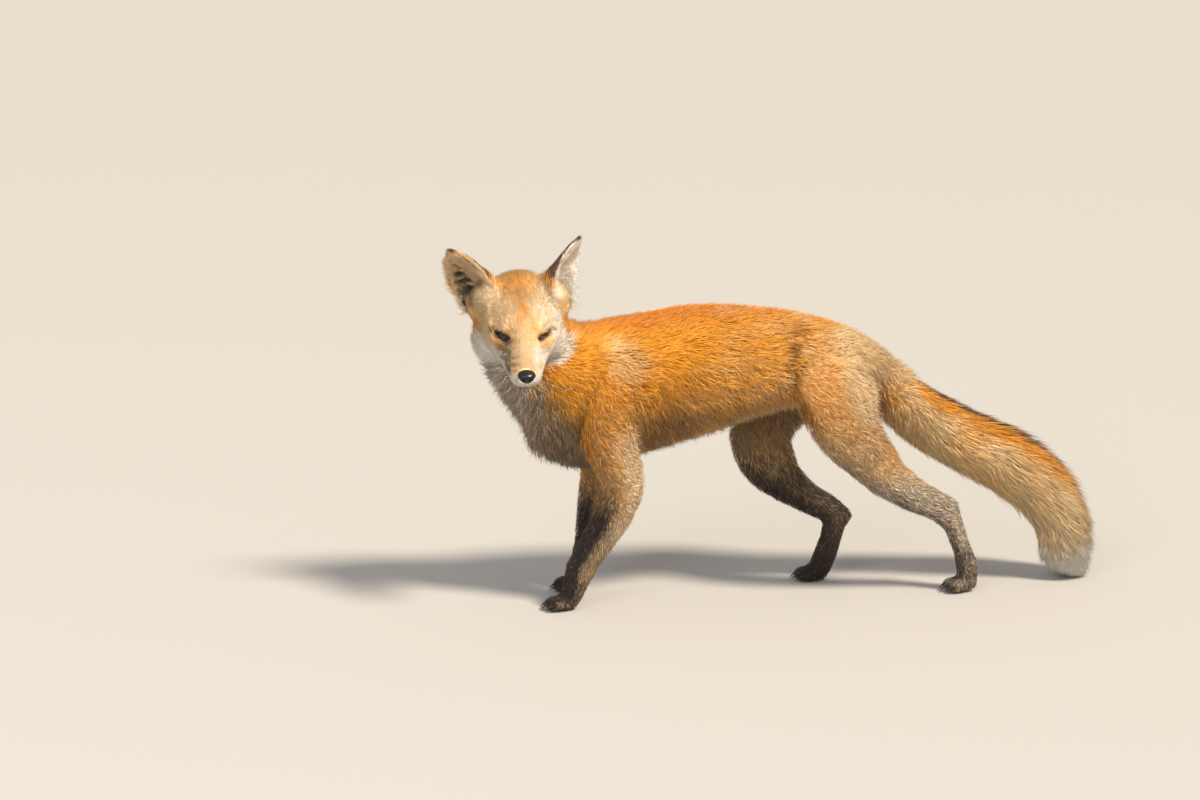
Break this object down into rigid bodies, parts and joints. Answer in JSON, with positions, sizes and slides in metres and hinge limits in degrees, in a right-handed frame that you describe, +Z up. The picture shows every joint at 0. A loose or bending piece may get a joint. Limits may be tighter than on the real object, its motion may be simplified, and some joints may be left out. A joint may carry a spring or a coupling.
{
  "type": "red fox",
  "caption": "Life-size still model of a red fox in mid step, its head turned to its left and its brush hanging to the ground.",
  "frame": {"origin": "on the floor under the middle of the fox's overall box", "axes": "+Z up; the body's length along X with the fox facing -X; its left side faces -Y, the way its head is turned"},
  "size_m": [0.8302, 0.222, 0.4747],
  "materials": {
    "red_hair": "matt, dense red-orange hair",
    "stocking_hair": "matt, short grizzled black-brown hair",
    "white_hair": "matt, long off-white hair",
    "nose_leather": "moist black nose skin, semi-gloss",
    "eye": "wet, glossy",
    "claw": "dark horn, satin"
  },
  "bodies": {
    "root": {"claw_foreleg_left_1": "claw", "claw_foreleg_left_2": "claw", "claw_foreleg_left_3": "claw", "claw_foreleg_left_4": "claw", "claw_foreleg_right_1": "claw", "claw_foreleg_right_2": "claw", "claw_foreleg_right_3": "claw", "claw_foreleg_right_4": "claw", "claw_hindleg_left_1": "claw", "claw_hindleg_left_2": "claw", "claw_hindleg_left_3": "claw", "claw_hindleg_left_4": "claw", "claw_hindleg_right_1": "claw", "claw_hindleg_right_2": "claw", "claw_hindleg_right_3": "claw", "claw_hindleg_right_4": "claw", "ear_left": "red_hair", "ear_right": "red_hair", "eye_left": "eye", "eye_right": "eye", "foreleg_left_arm": "red_hair", "foreleg_left_forearm": "stocking_hair", "foreleg_left_paw": "stocking_hair", "foreleg_right_arm": "red_hair", "foreleg_right_forearm": "stocking_hair", "foreleg_right_paw": "stocking_hair", "head": "red_hair", "hindleg_left_foot": "stocking_hair", "hindleg_left_shank": "stocking_hair", "hindleg_left_thigh": "red_hair", "hindleg_right_foot": "stocking_hair", "hindleg_right_shank": "stocking_hair", "hindleg_right_thigh": "red_hair", "neck": "red_hair", "nose": "nose_leather", "tail_middle": "red_hair", "tail_root": "red_hair", "tail_tip": "white_hair", "trunk": "red_hair"}
  },
  "joints": []
}
